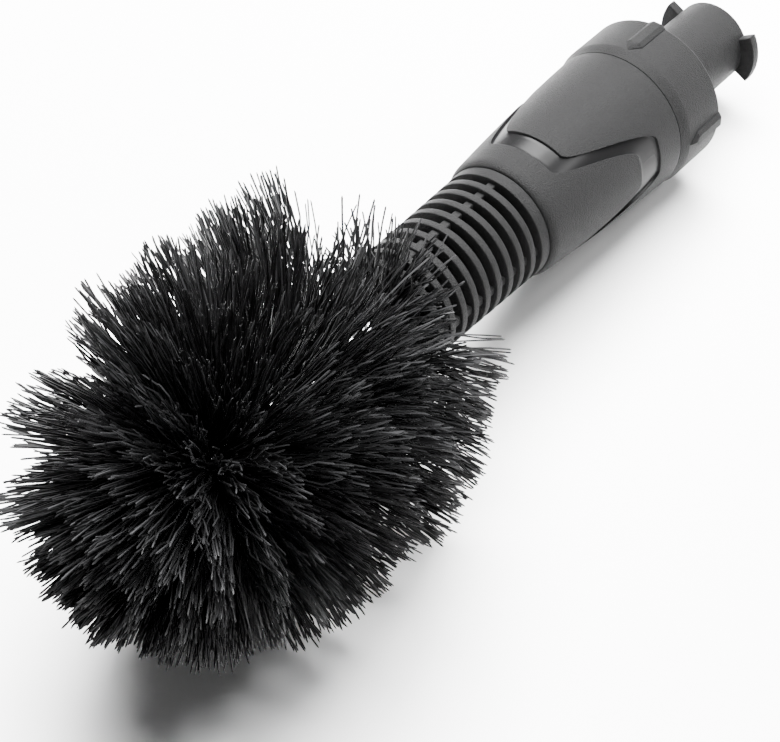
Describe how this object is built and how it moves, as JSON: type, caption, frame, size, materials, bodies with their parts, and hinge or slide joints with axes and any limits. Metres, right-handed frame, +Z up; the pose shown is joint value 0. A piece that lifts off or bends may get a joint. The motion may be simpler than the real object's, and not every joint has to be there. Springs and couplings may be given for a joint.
{
  "type": "wheel brush",
  "caption": "Hand-held wheel brush: egg-shaped bristle head on a twisted wire core, slotted water-outlet neck, tapered grip, ribbed collar and open bayonet shaft with side lugs.",
  "frame": {"origin": "middle of the brush's bounding box, on the floor it lies on", "axes": "+X towards the bayonet end, seen from above; +Z up; the brush axis points down by 9.64 degrees towards the bayonet end, because the head is thicker than the handle"},
  "size_m": [0.2806, 0.1042, 0.1064],
  "materials": {
    "charcoal_plastic": "fine spark-eroded grain, with a smooth sunk band on the grip",
    "black_plastic": "smooth moulded",
    "natural_plastic": "extruded tube",
    "brass": "turned",
    "seal_rubber": "moulded seal",
    "steel": "drawn wire, stainless",
    "bristle_black": "black synthetic filament, slightly crimped"
  },
  "bodies": {
    "root": {"bayonet_shaft": "charcoal_plastic", "bayonet_collar": "charcoal_plastic", "grip_barrel": "charcoal_plastic", "ribbed_neck": "charcoal_plastic", "distributor_sleeve": "black_plastic", "inlet_nipple": "brass", "nipple_o_ring": "seal_rubber", "nipple_retaining_ring": "steel", "water_tube": "natural_plastic", "tube_o_ring": "seal_rubber", "core_socket": "black_plastic", "core_pin": "steel", "core_wire": "steel", "bristle_row_1": "bristle_black", "bristle_row_2": "bristle_black", "bristle_row_3": "bristle_black", "bristle_row_4": "bristle_black", "bristle_row_5": "bristle_black", "bristle_row_6": "bristle_black", "bristle_row_7": "bristle_black", "bristle_row_8": "bristle_black", "bristle_row_9": "bristle_black", "bristle_tip_tuft": "bristle_black"}
  },
  "joints": []
}
